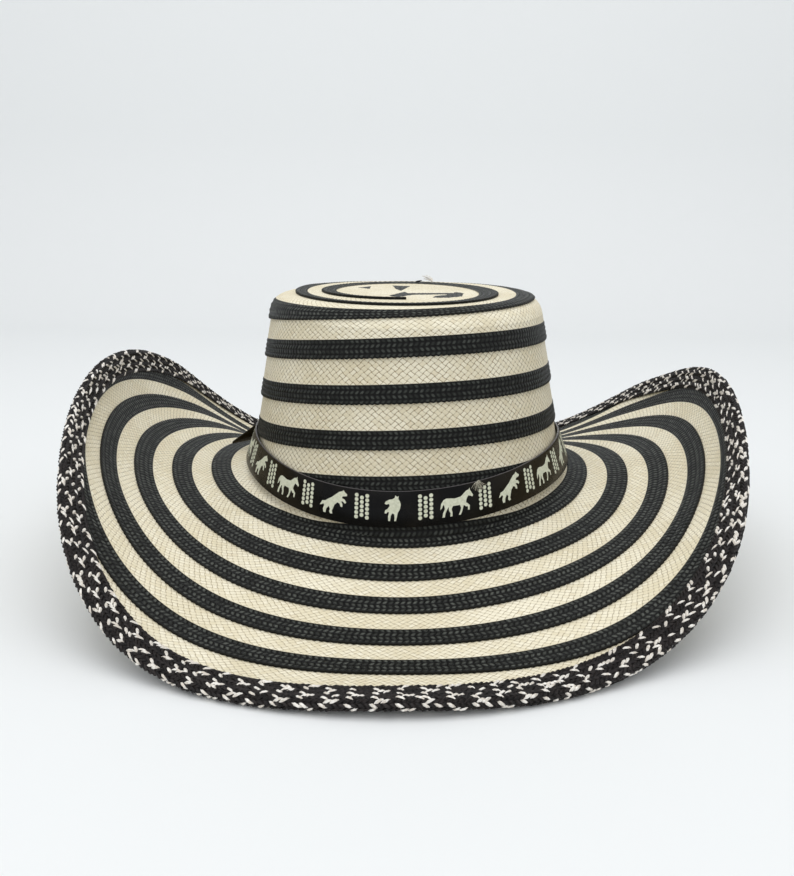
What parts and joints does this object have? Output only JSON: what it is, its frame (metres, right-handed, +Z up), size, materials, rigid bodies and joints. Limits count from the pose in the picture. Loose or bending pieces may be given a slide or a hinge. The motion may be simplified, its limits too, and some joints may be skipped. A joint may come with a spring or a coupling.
{
  "type": "vueltiao hat",
  "caption": "Wide-brimmed straw hat in black and cream spiral stripes, with upturned sides, a plaited edge and a printed dark hatband.",
  "frame": {"origin": "on the table under the middle of the hat's outline", "axes": "+Z up, +Y from the front of the hat to its back, +X across it"},
  "size_m": [0.3406, 0.415, 0.1401],
  "materials": {
    "palm_straw": "plaited cane straw, cream with dyed black rounds, slight sheen",
    "edge_plait": "plaited straw, near black with pale flecks",
    "strap": "smooth, semi-gloss, with a pale print"
  },
  "bodies": {
    "root": {"crown_tip": "palm_straw", "crown_side": "palm_straw", "brim": "palm_straw", "edge_braid": "edge_plait", "hatband": "strap", "hatband_tail": "strap"}
  },
  "joints": []
}
